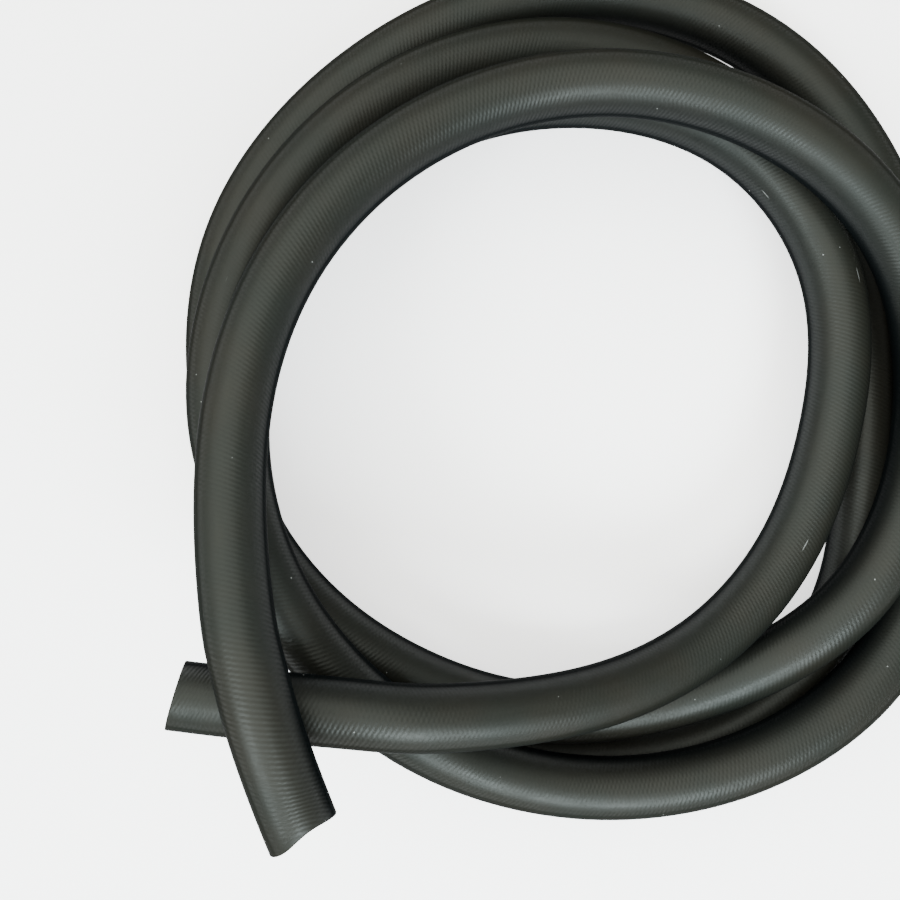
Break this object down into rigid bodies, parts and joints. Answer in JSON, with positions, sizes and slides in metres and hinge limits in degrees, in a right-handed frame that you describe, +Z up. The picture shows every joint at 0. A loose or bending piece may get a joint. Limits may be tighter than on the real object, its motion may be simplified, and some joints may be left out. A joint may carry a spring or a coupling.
{
  "type": "fuel hose",
  "caption": "Length of black rubber fuel hose with open cut ends, lying in a loose coil with its turns over each other.",
  "frame": {"origin": "on the ground, under the middle of the coil's extents", "axes": "+X to the right and +Y to the back of the coil as it lies with both cut ends at the front left, +Z up"},
  "size_m": [0.3632, 0.3908, 0.1302],
  "materials": {
    "hose_rubber": "matt black rubber with a faint braid pattern"
  },
  "bodies": {
    "root": {"fuel_hose": "hose_rubber"}
  },
  "joints": []
}
